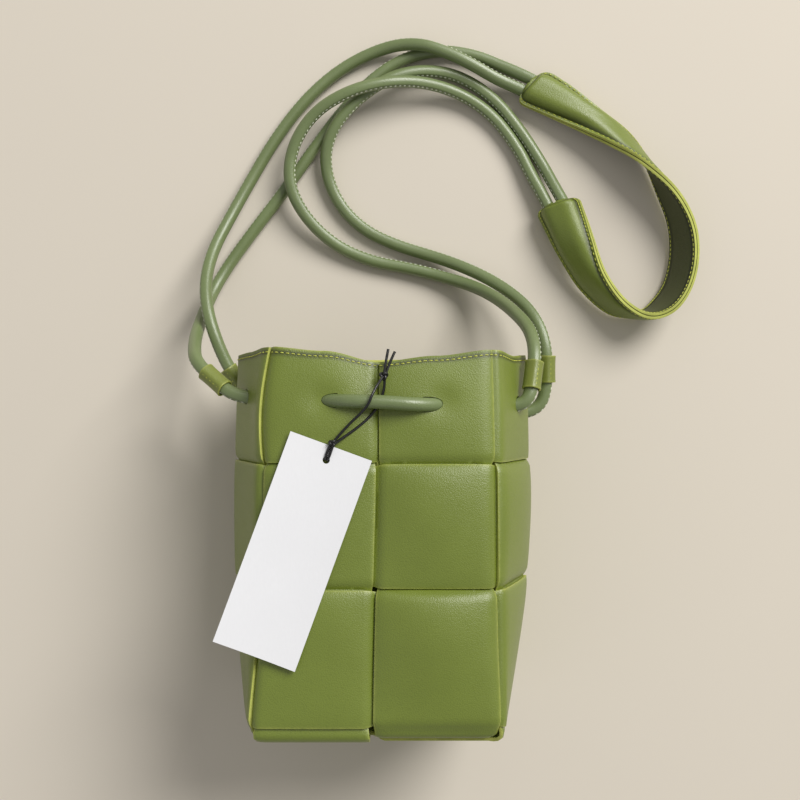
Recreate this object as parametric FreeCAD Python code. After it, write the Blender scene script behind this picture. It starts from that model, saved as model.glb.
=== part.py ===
"""Woven drawstring bucket bag with a cord strap, a shoulder pad and a hang tag.

The bag lies on its back: +Z points out of its front, +Y towards its mouth and +X to the right.
Its body is one plain weave: two lengthwise strips, two cross strips that run down one side, under
the base and up the other side, and three bands that go all the way round.  Millimetres.
"""
import FreeCAD, Part
import math
import os

V = FreeCAD.Vector

# Driving dimensions
HEIGHT = 195.0            # base to rim, over the leather
WIDTH = 163.0             # over the side folds, at the middle row
FRONT = 118.0             # front panel between its folds, at the middle row
DEPTH = 107.0             # back face to front face, at the middle row
ROW_UPPER = 55.5          # visible height of the upper band
ROW_MIDDLE = 62.5         # visible height of the middle band
BASE_ROUND = 6.0          # how far the base turns in from the walls
LEATHER = 1.8             # thickness of the woven strips
WEAVE_GAP = 0.3           # air between two strips where they cross
EDGE_GAP = 2.4            # between the edges of neighbouring strips
FOLD_ROOM = 0.9           # a lengthwise strip's edge to where a band starts to bend
FACING = 1.2              # thickness of the facing inside the mouth
FACING_HEIGHT = 12.0      # how far the facing reaches down
FACING_INSET = 4.0        # how softly the facing rounds the folds
STITCH_PITCH = 2.7        # one rim stitch to the next
STITCH_LENGTH = 2.0       # one stitch
STITCH = 0.6              # thickness of the thread
STITCH_DROP = 2.2         # stitch line below the rim
STITCH_LIFT = 0.15        # thread to the leather it lies on
CORD = 7.0                # diameter of the strap cord
HOLE_CLEARANCE = 0.8      # cord to the edge of its hole
SLEEVE_LENGTH = 15.0      # one cord sleeve
SLEEVE_WALL = 1.2         # leather of a sleeve
SLEEVE_CLEARANCE = 0.8    # cord to the sleeve's bore
PAD_LEATHER = 1.5         # one layer of the shoulder pad
PAD_FLANGE = 2.5          # flat stitched border of the pad
PAD_SLOPE = 2.0           # from the border up to the top of the channel
PAD_FLANGE_GAP = 0.15     # half the seam between the two layers
PAD_ROOM = 4.4            # half height of the pad's channel where it holds a cord
PAD_FLAT = 0.6            # the same along the middle of the pad
TAG_LENGTH = 110.0        # paper tag
TAG_WIDTH = 43.0
TAG_CARD = 0.6            # its thickness
TAG_HOLE = 3.6            # diameter of its hole
TAG_HOLE_DROP = 7.4       # hole centre below the tag's upper edge
STRING = 1.4              # waxed string

# Where two strips cross, each lies this far from the surface halfway between them
OFFSET = (LEATHER + WEAVE_GAP) / 2
SKIN = OFFSET + LEATHER / 2
HALF_GAP = EDGE_GAP / 2

# Heights of the rim, the two lines between the bands, and the line where the base begins
RIM = HEIGHT / 2
BASE = -HEIGHT / 2 + SKIN
LINES = [RIM, RIM - ROW_UPPER, RIM - ROW_UPPER - ROW_MIDDLE, BASE + BASE_ROUND]

# The folds of the body at those four lines: the bag spreads at the base and draws in at the mouth
FRONT_LEFT = [-FRONT / 2 + d for d in (3.0, -0.5, -1.0, -5.5)]
FRONT_RIGHT = [FRONT / 2 + d for d in (-1.5, -0.5, 0.0, 1.5)]
MIDDLE = [-1.5, -1.5, -3.0, -4.5]
SIDE_LEFT = [-WIDTH / 2 + SKIN + d for d in (2.0, 0.0, 0.0, 6.5)]
SIDE_RIGHT = [WIDTH / 2 - SKIN + d for d in (-2.0, 0.0, -1.0, -12.5)]
FACE = [DEPTH - SKIN + d for d in (-5.0, 0.0, 2.0, 5.0)]
BACK = [SKIN + d for d in (13.0, 2.0, 0.0, 0.0)]

# Cord routes: corner points, chosen by hand, of the straight runs that arcs join.
# The front cord goes pad - left side - front of the bag - right side - pad.
FRONT_ROUTE = [
    (97.5, 256.9, 6.5), (83, 264.8, 5.6), (69, 271, 4.2), (53, 277.7, 3.6), (31, 280.6, 3.6),
    (9, 274.5, 3.6), (-10, 260.5, 3.6), (-27, 241, 3.6), (-43, 219.5, 3.6), (-59, 196.5, 3.6),
    (-76, 174.5, 3.6), (-91, 154, 4.0), (-102, 137, 9.5), (-107, 121.5, 23), (-107.5, 110, 40),
    (-105, 101.5, 57), (-98.5, 93.5, 70.6), (-87.5, 84, 75.6), (-77, 75.5, 79.6),
    (-58, 73.8, 78.6), (-40, 73.5, 90), (-20, 73, 109.8), (0, 72.7, 110.6), (21, 71, 109.8),
    (41, 71.3, 90), (58.5, 70.3, 78.8), (72, 70.5, 79.6), (77.3, 74.5, 80), (79.2, 84, 78.2),
    (81.2, 100.5, 73.4), (79.6, 112, 61), (74, 121.5, 44.5), (66, 131, 26), (54, 139.5, 12),
    (36, 146, 5.2), (14.5, 151.5, 4), (-7, 155.2, 3.8), (-28.7, 164.5, 5), (-46, 180.4, 9),
    (-55.7, 199.7, 12), (-53.3, 221.3, 13), (-40.9, 239.9, 16.5), (-22, 251, 19.8), (-0.7, 257.2, 19.4),
    (21.4, 259.8, 12), (43.9, 255.1, 6), (64.2, 242.7, 4), (79.5, 222.6, 4), (87, 206.3, 5),
    (95, 191.5, 6), (101.5, 177, 6.6)]
# The rear cord goes pad - left side - behind the bag - right side - pad.
REAR_ROUTE = [
    (93.5, 250, 6.6), (79, 257.2, 6.4), (66.2, 262.2, 8), (52.4, 269.4, 11.5), (37.2, 276.6, 12),
    (20.3, 282.3, 11), (0.9, 281.6, 5.8), (-24, 270.5, 3.6), (-46, 251.5, 3.6), (-64, 228, 3.6),
    (-79, 202, 4.4), (-90, 180, 9.5), (-98, 161, 18.5), (-101, 143, 28), (-99, 126, 36.5),
    (-94, 110, 40), (-88, 95, 38.5), (-80.5, 82.5, 36.4), (-75, 75.5, 35.2), (-57, 73.8, 33),
    (-39, 73.4, 21), (-20, 73, 3.9), (0, 73, 3.6), (20, 72, 3.9), (39, 71, 21), (56, 69.5, 32),
    (71, 67, 33), (81.5, 66.2, 32.5), (89.2, 70.5, 32.5), (92, 79, 33), (92.6, 91, 33.6),
    (92, 103, 34), (89, 115, 31), (83, 126, 25.5), (73, 136, 19), (60, 145, 13),
    (44, 152.8, 8.5), (27.5, 158.8, 5), (8.6, 164.5, 3.8), (-10.4, 173, 3.8), (-25.2, 187, 3.8),
    (-33.5, 205, 5), (-34, 222, 9), (-26.5, 237.3, 11.6), (-12.5, 251.6, 11.8), (5.1, 263.1, 11),
    (24.5, 267.9, 7), (45.2, 265.2, 4), (65.4, 252.2, 3.8), (81.3, 232.6, 3.8), (94, 212.3, 4.8),
    (100.8, 197.5, 5.8), (108.6, 182, 6.6)]
FRONT_SLEEVES = {"front_left": (17, 0.0), "front_right": (28, 2.5)}
REAR_SLEEVES = {"rear_left": (17, -3.5), "rear_right": (30, 0.0)}
FRONT_HOLES = (18, 20, 23, 25)   # first point of each run that goes through the wall
REAR_HOLES = (18, 20, 23, 25)

# The pad's two edges from the end over the left strands to the end over the right strands
PAD_EDGES = [
    ((76.9, 249.2, 7.2), (94.1, 268.6, 6.2)), ((93.9, 241.7, 8.2), (111.2, 257.6, 6.2)),
    ((114.9, 231.2, 12.5), (128.2, 244.1, 4.5)), ((134.2, 220.5, 18), (145, 230.7, 2.6)),
    ((150.5, 209.7, 22.5), (155.1, 215.9, 2.4)), ((167.6, 194.1, 23.4), (162.2, 198.1, 2.4)),
    ((178.2, 175.9, 22.4), (169.3, 177.9, 2.4)), ((180.8, 157, 21.4), (170.5, 159.5, 2.4)),
    ((176.7, 138.8, 21.9), (167, 142.7, 2.4)), ((166.8, 125.6, 23.4), (160, 131.6, 2.4)),
    ((153.1, 121.7, 24), (151.1, 124.7, 2.4)), ((139.3, 129.9, 22), (134.3, 125.4, 2.6)),
    ((127.3, 147, 18), (117.5, 138.8, 3.2)), ((120.7, 167, 12.5), (104.5, 157.6, 4.5)),
    ((116.6, 181.4, 8.2), (95.4, 173.6, 6.2)), ((113, 192.3, 7.2), (89.7, 184.9, 6.2))]

# The tag lies on the front face, turned on its string
TAG_CENTRE = V(-43.2, -1.0, 110.3)
TAG_DOWN = V(-0.343, -0.939, 0.039)
TAG_ACROSS = V(0.939, -0.343, 0.014)
KNOT = V(1.7, 85.5, 107.8)
KNOT_DIAMETER = 4.2
OVER_STRAND = [(-22.8, 53.9, 109.6), (-14.4, 62.6, 111), (-9.2, 67.2, 113.2), (-5.4, 73.6, 115.6),
               (-1.9, 80.2, 113.2), (1.2, 84.9, 108.8)]
UNDER_STRAND = [(-20.6, 53.3, 109.2), (-10.2, 60.6, 107.4), (-3.8, 66.6, 105.8), (0.4, 73.5, 105.3),
                (2.2, 80.4, 105.7), (2.0, 85.0, 107.2)]
TAILS = [[(1.9, 86.6, 108.6), (2.6, 92.4, 108.4), (3.9, 98.8, 107.4)],
         [(2.6, 86.4, 108.2), (4.4, 91.8, 107.6), (7.2, 97.6, 106.4)]]


def between(values, y):
    """A fold's coordinate at height y, read from its values at the four lines."""
    for upper in range(3):
        if y >= LINES[upper + 1] or upper == 2:
            share = (LINES[upper] - y) / (LINES[upper] - LINES[upper + 1])
            return values[upper] + share * (values[upper + 1] - values[upper])


def folds(y):
    """The eight corners of the body at height y, as (x, z), clockwise from the front left."""
    face, back = between(FACE, y), between(BACK, y)
    left, middle, right = (between(v, y) for v in (FRONT_LEFT, MIDDLE, FRONT_RIGHT))
    centre = (face + back) / 2
    return [(left, face), (middle, face), (right, face), (between(SIDE_RIGHT, y), centre),
            (right, back), (middle, back), (left, back), (between(SIDE_LEFT, y), centre)]


def wall_point(column, end, y, offset, inset=HALF_GAP):
    """A point near a column's fold (end 0 or 1) at height y, offset outwards from the wall."""
    corners = folds(y)
    (x0, z0), (x1, z1) = corners[column], corners[(column + 1) % 8]
    length = math.hypot(x1 - x0, z1 - z0)
    along = V((x1 - x0) / length, 0, (z1 - z0) / length)
    outward = V(-along.z, 0, along.x)
    reach = inset if end == 0 else length - inset
    return V(x0, y, z0) + along * reach + outward * offset


def quad(a, b, c, d):
    """A face with four straight edges: flat where its corners are, ruled where they twist."""
    square = (b - a).cross(c - a).normalize()
    if abs((d - a).dot(square)) < 1e-5:
        return Part.Face(Part.makePolygon([a, b, c, d, a]))
    return Part.makeRuledSurface(Part.makeLine(a, b), Part.makeLine(d, c))


def skin(sections, closed=False):
    """A solid between matching cross-sections, each a loop of points."""
    pairs = list(zip(sections, sections[1:] + sections[:1]))
    if not closed:
        pairs.pop()
    faces = []
    for near, far in pairs:
        around = zip(near, near[1:] + near[:1], far[1:] + far[:1], far)
        faces += [quad(*corners) for corners in around]
    if not closed:
        faces += [Part.Face(Part.makePolygon(end + end[:1])) for end in (sections[0], sections[-1])]
    shell = Part.makeShell(faces)
    shell.sewShape()
    solid = Part.makeSolid(shell)
    if solid.Volume < 0:
        solid.reverse()
    return solid


def square_ends(layer, low, high, make):
    """Cross-section of a strip: its two edges, each on the outer and the inner face."""
    half = LEATHER / 2
    return [make(low, layer + half), make(high, layer + half),
            make(high, layer - half), make(low, layer - half)]


def band(row, outside):
    """A closed band; outside lists for each of the eight columns whether it lies on top."""
    upper = LINES[row] - (HALF_GAP if row else 0.0)
    lower = LINES[row + 1] + HALF_GAP
    sections = []
    for column in range(8):
        layer = OFFSET if outside[column] else -OFFSET
        for end in (0, 1):
            make = lambda y, offset: wall_point(column, end, y, offset)
            sections.append(square_ends(layer, upper, lower, make))
    return skin(sections, closed=True)


def wall_sections(column, rows, downwards=True):
    """Cross-sections of a lengthwise strip on one wall; rows lists what lies on top, rim first."""
    sections = []
    for row in range(3):
        layer = OFFSET if rows[row] else -OFFSET
        upper = LINES[row] - (HALF_GAP if row else 0.0)
        lower = LINES[row + 1] + (HALF_GAP if row < 2 else 0.0)
        for y in (upper, lower):
            make = lambda end, offset: wall_point(column, end, y, offset, HALF_GAP + FOLD_ROOM)
            sections.append(square_ends(layer, 0, 1, make))
    if downwards:
        return sections
    flip = lambda s: [s[1], s[0], s[3], s[2]]
    return [flip(s) for s in reversed(sections)]


def turn(wall, base):
    """The cross-section halfway round the base edge, bulging outwards between its neighbours."""
    bulge = BASE_ROUND * (1 - math.sqrt(0.5)) * math.sqrt(0.5)
    result = []
    for above, below in zip(wall, base):
        middle = (above + below) / 2
        inward = V(below.x - above.x, 0, below.z - above.z)
        out = V(0, -1, 0)
        if inward.Length:
            out = out - inward.normalize()
        result.append(middle + out.normalize() * bulge)
    return result


def base_section(low, high, layer):
    """A strip's cross-section on the base; low and high are its (x, z) edges."""
    make = lambda edge, offset: V(edge[0], BASE - offset, edge[1])
    return square_ends(layer, low, high, make)


def lengthwise_strip(column, opposite, x_edges, front, base, back):
    """A strip from the front rim down, under the base and up the back wall."""
    face, rear = FACE[3] - BASE_ROUND, BACK[3] + BASE_ROUND
    middle = (FACE[3] + BACK[3]) / 2
    left, right = x_edges
    down = wall_sections(column, front)
    layers = [OFFSET if on_top else -OFFSET for on_top in base]
    under = [base_section((left, z), (right, z), layer)
             for z, layer in ((face, layers[0]), (middle + HALF_GAP, layers[0]),
                              (middle - HALF_GAP, layers[1]), (rear, layers[1]))]
    up = wall_sections(opposite, back, downwards=False)
    return skin(down + [turn(down[-1], under[0])] + under + [turn(up[0], under[-1])] + up)


def cross_strip(column, opposite, z_edges, left, base, right):
    """A strip from the rim down the left side, under the base and up the right side."""
    near, far = z_edges
    start, end = FRONT_LEFT[3] + BASE_ROUND, FRONT_RIGHT[3] - BASE_ROUND
    down = wall_sections(column, left)
    layers = [OFFSET if on_top else -OFFSET for on_top in base]
    under = [base_section((x, near), (x, far), layer)
             for x, layer in ((start, layers[0]), (MIDDLE[3] - HALF_GAP, layers[0]),
                              (MIDDLE[3] + HALF_GAP, layers[1]), (end, layers[1]))]
    up = wall_sections(opposite, right, downwards=False)
    return skin(down + [turn(down[-1], under[0])] + under + [turn(up[0], under[-1])] + up)


def tube(points, diameter, name=None):
    """A round cord along straight runs joined by tangent arcs; a named one is reported."""
    corners = [V(*p) for p in points]
    edges, start, tightest = [], corners[0], math.inf
    for before, corner, after in zip(corners, corners[1:], corners[2:]):
        back, ahead = before - corner, after - corner
        reach = 0.45 * min(back.Length, ahead.Length)
        bend = math.pi - back.getAngle(ahead)
        radius = reach / math.tan(bend / 2)
        tightest = min(tightest, radius)
        first = corner + back.normalize() * reach
        last = corner + ahead.normalize() * reach
        inward = (back + ahead).normalize()
        crest = corner + inward * (math.hypot(reach, radius) - radius)
        edges.append(Part.LineSegment(start, first).toShape())
        edges.append(Part.Arc(first, crest, last).toShape())
        start = last
    edges.append(Part.LineSegment(start, corners[-1]).toShape())
    wire = Part.Wire(edges)
    heading = (corners[1] - corners[0]).normalize()
    section = Part.Wire(Part.makeCircle(diameter / 2, corners[0], heading))
    solid = wire.makePipeShell([section], True, True)
    if name:
        ideal = wire.Length * math.pi * diameter ** 2 / 4
        print(f"{name}: length {wire.Length:.0f} mm, tightest radius {tightest:.1f} mm, "
              f"volume {solid.Volume / ideal:.3f} of ideal")
    return solid


def hole_cutter(route, first):
    """What a cord's hole takes out of the strips: the cord there with some air round it."""
    return tube(route[first - 1:first + 3], CORD + 2 * HOLE_CLEARANCE)


def sleeve(route, place):
    """A short leather tube round the cord, centred near one of the route's points."""
    index, shift = place
    before, corner, after = (V(*route[index + k]) for k in (-1, 0, 1))
    along = (after - before).normalize()
    start = corner + along * (shift - SLEEVE_LENGTH / 2)
    bore = CORD / 2 + SLEEVE_CLEARANCE
    body = Part.makeCylinder(bore + SLEEVE_WALL, SLEEVE_LENGTH, start, along)
    return body.cut(Part.makeCylinder(bore, SLEEVE_LENGTH, start, along))


def facing():
    """The strip sewn inside the mouth, against the inner faces of the weave."""
    inner = -(SKIN + WEAVE_GAP)
    sections = []
    for column in range(8):
        for end in (0, 1):
            sections.append([wall_point(column, end, y, offset, FACING_INSET) for y, offset in
                             ((RIM, inner), (RIM - FACING_HEIGHT, inner),
                              (RIM - FACING_HEIGHT, inner - FACING), (RIM, inner - FACING))])
    return skin(sections, closed=True)


def rim_stitches():
    """Separate stitches round the mouth, on whichever strip is outside there."""
    y = RIM - STITCH_DROP
    stitches = []
    for column in range(8):
        start, end = (wall_point(column, k, y, SKIN + STITCH_LIFT + STITCH / 2) for k in (0, 1))
        along = (end - start).normalize()
        out = V(-along.z, 0, along.x)
        count = int((end - start).Length / STITCH_PITCH)
        for k in range(count):
            corner = start + along * (k * STITCH_PITCH) - out * (STITCH / 2) - V(0, STITCH / 2, 0)
            box = Part.makeBox(STITCH_LENGTH, STITCH, STITCH)
            box.Placement = FreeCAD.Placement(corner, FreeCAD.Rotation(along, V(0, 1, 0), out))
            stitches.append(box)
    return Part.makeCompound(stitches)


def pad_layer(side):
    """One layer of the shoulder pad: a flat border and a raised channel along the middle.

    Side 1 is the layer outside the loop that the pad makes, and -1 the one inside it.
    """
    sections = []
    last = len(PAD_EDGES) - 1
    centres = [(V(*a) + V(*b)) / 2 for a, b in PAD_EDGES]
    for k, (top, bottom) in enumerate(PAD_EDGES):
        run = (centres[min(k + 1, last)] - centres[max(k - 1, 0)]).normalize()
        across = (V(*bottom) - V(*top)).normalize()
        out = run.cross(across).normalize() * side
        half = (V(*bottom) - V(*top)).Length / 2
        ridge = PAD_ROOM if min(k, last - k) < 2 else PAD_FLAT
        border, crown = half - PAD_FLANGE, half - PAD_FLANGE - PAD_SLOPE
        profile = [(-half, PAD_FLANGE_GAP), (-border, PAD_FLANGE_GAP), (-crown, ridge),
                   (crown, ridge), (border, PAD_FLANGE_GAP), (half, PAD_FLANGE_GAP)]
        near = [centres[k] + across * a + out * h for a, h in profile]
        far = [centres[k] + across * a + out * (h + PAD_LEATHER) for a, h in reversed(profile)]
        sections.append(near + far)
    return skin(sections)


def tag_frame():
    """Where the tag's own frame lies: x across it, y up it, z out of its face."""
    up = TAG_DOWN * -1
    return FreeCAD.Placement(TAG_CENTRE, FreeCAD.Rotation(TAG_ACROSS, up, TAG_ACROSS.cross(up), "YXZ"))


def hang_tag():
    """A paper card with a round hole near its upper edge."""
    card = Part.makeBox(TAG_WIDTH, TAG_LENGTH, TAG_CARD, V(-TAG_WIDTH / 2, -TAG_LENGTH / 2, 0))
    hole = Part.makeCylinder(TAG_HOLE / 2, 3 * TAG_CARD,
                             V(0, TAG_LENGTH / 2 - TAG_HOLE_DROP, -TAG_CARD))
    card = card.cut(hole)
    card.Placement = tag_frame()
    return card


def tag_hitch():
    """The string from the tag's hole to its upper edge."""
    top = TAG_LENGTH / 2
    above = TAG_CARD + STRING / 2 + 0.15
    local = [V(0, top - TAG_HOLE_DROP, 0), V(0, top - TAG_HOLE_DROP + 1, above), V(0.4, top, above)]
    return tube([tuple(tag_frame().multVec(p)) for p in local], STRING)


def knot():
    """The overhand knot above the cord, with its two cut tails."""
    ball = Part.makeSphere(KNOT_DIAMETER / 2, KNOT)
    return ball.fuse([tube(points, STRING) for points in TAILS])


# What lies on top in each column: front left, front right, right front, right rear,
# back right, back left, left rear, left front
OUTSIDE = [(True, False, True, False, True, False, True, False),
           (False, True, False, True, False, True, False, True),
           (True, False, True, False, True, False, True, False)]


def lengthwise(column):
    """Whether a lengthwise strip lies on top in each row of a column."""
    return [not OUTSIDE[row][column] for row in range(3)]


def build():
    parts = {}
    face, rear = FACE[3] - BASE_ROUND, BACK[3] + BASE_ROUND
    middle = (FACE[3] + BACK[3]) / 2
    parts["warp_strip_left"] = lengthwise_strip(
        0, 5, (FRONT_LEFT[3] + BASE_ROUND, MIDDLE[3] - HALF_GAP), lengthwise(0), (True, False),
        lengthwise(5))
    parts["warp_strip_right"] = lengthwise_strip(
        1, 4, (MIDDLE[3] + HALF_GAP, FRONT_RIGHT[3] - BASE_ROUND), lengthwise(1), (False, True),
        lengthwise(4))
    parts["cross_strip_front"] = cross_strip(
        7, 2, (middle + HALF_GAP, face), lengthwise(7), (False, True), lengthwise(2))
    parts["cross_strip_rear"] = cross_strip(
        6, 3, (rear, middle - HALF_GAP), lengthwise(6), (True, False), lengthwise(3))
    for row, name in enumerate(("band_upper", "band_middle", "band_lower")):
        parts[name] = band(row, OUTSIDE[row])
    cutters = [hole_cutter(FRONT_ROUTE, k) for k in FRONT_HOLES]
    cutters += [hole_cutter(REAR_ROUTE, k) for k in REAR_HOLES]
    for name in ("warp_strip_left", "warp_strip_right", "cross_strip_front", "cross_strip_rear",
                 "band_upper"):
        parts[name] = parts[name].cut(cutters)
    parts["mouth_facing"] = facing()
    parts["rim_stitching"] = rim_stitches()
    parts["front_cord"] = tube(FRONT_ROUTE, CORD, "front_cord")
    parts["rear_cord"] = tube(REAR_ROUTE, CORD, "rear_cord")
    for name, place in FRONT_SLEEVES.items():
        parts["cord_sleeve_" + name] = sleeve(FRONT_ROUTE, place)
    for name, place in REAR_SLEEVES.items():
        parts["cord_sleeve_" + name] = sleeve(REAR_ROUTE, place)
    parts["pad_outer"] = pad_layer(1)
    parts["pad_inner"] = pad_layer(-1)
    parts["hang_tag"] = hang_tag()
    parts["tag_hitch"] = tag_hitch()
    parts["tag_loop"] = tube(OVER_STRAND, STRING).fuse(tube(UNDER_STRAND, STRING))
    parts["tag_knot"] = knot().cut(parts["tag_loop"])
    return parts


os.makedirs("parts", exist_ok=True)
for node, shape in build().items():
    box = shape.BoundBox
    print(f"{node}: valid {shape.isValid()}, solids {len(shape.Solids)}, volume {shape.Volume:.0f}, "
          f"x {box.XMin:.1f} {box.XMax:.1f}, y {box.YMin:.1f} {box.YMax:.1f}, "
          f"z {box.ZMin:.1f} {box.ZMax:.1f}")
    shape.exportStep(f"parts/{node}.step")
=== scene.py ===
"""The looks of a small woven bucket bag: leather strips, cord strap, shoulder pad and paper tag.

The bag lies on its back: +Z points out of its front, +Y towards its mouth, +X to the right. Metres.
A place on the body is (u, v): u counts the eight columns clockwise from the left front fold, and v
the three rows from the rim (0) to where the base begins (3).
"""

import bmesh
import bpy
import functools
import math
from bpy.props import FloatProperty, FloatVectorProperty, PointerProperty
from mathutils import Matrix, Vector


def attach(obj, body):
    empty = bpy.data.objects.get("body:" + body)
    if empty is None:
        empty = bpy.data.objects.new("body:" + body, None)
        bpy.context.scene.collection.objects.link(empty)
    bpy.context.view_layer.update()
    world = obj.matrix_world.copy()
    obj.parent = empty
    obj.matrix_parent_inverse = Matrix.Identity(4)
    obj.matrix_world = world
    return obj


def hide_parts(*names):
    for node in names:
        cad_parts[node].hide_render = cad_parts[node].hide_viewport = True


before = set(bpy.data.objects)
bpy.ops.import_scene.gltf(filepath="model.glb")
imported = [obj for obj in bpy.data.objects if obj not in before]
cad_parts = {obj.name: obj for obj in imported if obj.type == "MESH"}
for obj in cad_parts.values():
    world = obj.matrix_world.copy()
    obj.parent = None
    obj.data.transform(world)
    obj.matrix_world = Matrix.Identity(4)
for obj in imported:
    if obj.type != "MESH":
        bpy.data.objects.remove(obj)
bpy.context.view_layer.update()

CAMERA_OVER = (0.00975, 0.0735)  # the place that the camera looks straight down on

bl_info = {
    "name": "Woven bucket bag",
    "version": (1, 0, 0),
    "blender": (4, 5, 0),
    "location": "3D View > Sidebar > Woven bag",
    "description": "Builds a woven leather bucket bag with a cord strap, a shoulder pad and a tag",
    "category": "Add Mesh",
}

# The body's folds at the rim, at the two lines between the bands and where the base begins
LINES = [0.0975, 0.042, -0.0205, -0.08955]
FRONT_LEFT = [-0.056, -0.0595, -0.06, -0.0645]
FRONT_RIGHT = [0.0575, 0.0585, 0.059, 0.0605]
MIDDLE = [-0.0015, -0.0015, -0.003, -0.0045]
SIDE_LEFT = [-0.07755, -0.07955, -0.07955, -0.07305]
SIDE_RIGHT = [0.07755, 0.07955, 0.07855, 0.06705]
FACE = [0.10005, 0.10505, 0.10705, 0.11005]
BACK = [0.01495, 0.00395, 0.00195, 0.00195]
BASE = -0.09555
BASE_ROUND = 0.006
STITCH_LINE = 0.043       # the stitches round the mouth, in rows below the rim
RIM_FINER = 1.4           # how much the faces crowd towards the rim
COLUMNS = 8
ROWS = 3
PITCH = 0.06              # one square of the weave
FOLD_EASE = 0.15          # how softly the body turns at a fold, in columns
LINE_EASE = 0.2           # and at a line between bands, in rows

# How far each square swells outwards, by row and column; the back lies flat
CROWNS = [[0.003, 0.002, 0.0012, 0.0003, 0, 0, 0.0003, 0.0006],
          [0.0012, 0.004, 0.0044, 0.0008, 0, 0, 0.0008, 0.0014],
          [0.003, 0.0056, 0.0028, 0.0008, 0, 0, 0.0008, 0.0018]]
CROWN_SHIFT = (0.9, 0.7, 0.55)  # below 1 the squares of a row swell most near their tops
# Where the drawn cord pulls the front in round its holes, and how far
PUCKERS = [(0.49, 0.44), (1.54, 0.44)]
PUCKER_DEPTH = 0.0016
FOLD_BOW = 0.0028         # how far the left front fold bows out below the rim
# How far the rim rises or dips at each half column
RIM_WAVE = [0.0027, 0.0002, -0.0053, -0.0023, 0.0012, -0.0013, 0.0, -0.0005,
            -0.001, -0.001, -0.001, -0.001, -0.0005, -0.0005, 0.0, 0.001]

# Control points of the two cords' lines, from one end of the shoulder pad to the other
FRONT_ROUTE = [
    (0.0975, 0.2569, 0.0065), (0.083, 0.2648, 0.0056), (0.069, 0.271, 0.0042), (0.053, 0.2777, 0.0036),
    (0.031, 0.2806, 0.0036), (0.009, 0.2745, 0.0036), (-0.01, 0.2605, 0.0036), (-0.027, 0.241, 0.0036),
    (-0.043, 0.2195, 0.0036), (-0.059, 0.1965, 0.0036), (-0.076, 0.1745, 0.0036),
    (-0.091, 0.154, 0.004), (-0.1, 0.137, 0.0095), (-0.1035, 0.1215, 0.023), (-0.104, 0.11, 0.04),
    (-0.102, 0.1015, 0.057), (-0.0985, 0.0935, 0.0706), (-0.0875, 0.084, 0.0756),
    (-0.077, 0.0755, 0.0796), (-0.058, 0.0738, 0.0786), (-0.04, 0.0735, 0.09), (-0.02, 0.073, 0.1098),
    (0.0, 0.0727, 0.1106), (0.021, 0.071, 0.1098), (0.041, 0.0713, 0.09), (0.0585, 0.0703, 0.0788),
    (0.072, 0.0705, 0.0796), (0.0773, 0.0745, 0.08), (0.0792, 0.084, 0.0782), (0.0812, 0.1005, 0.0734),
    (0.0796, 0.112, 0.061), (0.074, 0.1215, 0.0445), (0.066, 0.131, 0.026), (0.054, 0.1395, 0.012),
    (0.036, 0.146, 0.0052), (0.0145, 0.1515, 0.004), (-0.007, 0.1552, 0.0038),
    (-0.0287, 0.1645, 0.005), (-0.046, 0.1804, 0.009), (-0.0557, 0.1997, 0.012),
    (-0.0533, 0.2213, 0.013), (-0.0409, 0.2399, 0.0165), (-0.022, 0.251, 0.0198),
    (-0.0007, 0.2572, 0.0194), (0.0214, 0.2598, 0.012), (0.0439, 0.2551, 0.006),
    (0.0642, 0.2427, 0.004), (0.0795, 0.2226, 0.004), (0.087, 0.2063, 0.0055), (0.095, 0.1915, 0.0078),
    (0.1015, 0.177, 0.0106)]
REAR_ROUTE = [
    (0.0935, 0.25, 0.0066), (0.079, 0.2572, 0.0064), (0.0662, 0.2622, 0.008), (0.0524, 0.2694, 0.0115),
    (0.0372, 0.2766, 0.012), (0.0203, 0.2823, 0.011), (0.0009, 0.2816, 0.0058),
    (-0.024, 0.2705, 0.0036), (-0.046, 0.2515, 0.0036), (-0.064, 0.228, 0.0036),
    (-0.079, 0.202, 0.0044), (-0.09, 0.18, 0.0095), (-0.098, 0.161, 0.0185), (-0.101, 0.143, 0.028),
    (-0.099, 0.126, 0.0365), (-0.094, 0.11, 0.04), (-0.088, 0.095, 0.0385), (-0.0805, 0.0825, 0.0364),
    (-0.075, 0.0755, 0.0352), (-0.057, 0.0738, 0.033), (-0.039, 0.0734, 0.021), (-0.02, 0.073, 0.0039),
    (0.0, 0.073, 0.0036), (0.02, 0.072, 0.0039), (0.039, 0.071, 0.021), (0.056, 0.0695, 0.032),
    (0.071, 0.067, 0.033), (0.0815, 0.0662, 0.0325), (0.0892, 0.0705, 0.0325), (0.092, 0.079, 0.033),
    (0.0926, 0.091, 0.0336), (0.092, 0.103, 0.034), (0.089, 0.115, 0.031), (0.083, 0.126, 0.0255),
    (0.073, 0.136, 0.019), (0.06, 0.145, 0.013), (0.044, 0.1528, 0.0085), (0.0275, 0.1588, 0.005),
    (0.0086, 0.1645, 0.0038), (-0.0104, 0.173, 0.0038), (-0.0252, 0.187, 0.0038),
    (-0.0335, 0.205, 0.005), (-0.034, 0.222, 0.009), (-0.0265, 0.2373, 0.0116),
    (-0.0125, 0.2516, 0.0118), (0.0051, 0.2631, 0.011), (0.0245, 0.2679, 0.007),
    (0.0452, 0.2652, 0.004), (0.0654, 0.2522, 0.0038), (0.0813, 0.2326, 0.0038),
    (0.094, 0.2123, 0.0048), (0.1008, 0.1975, 0.0098), (0.1086, 0.182, 0.0144)]
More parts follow.
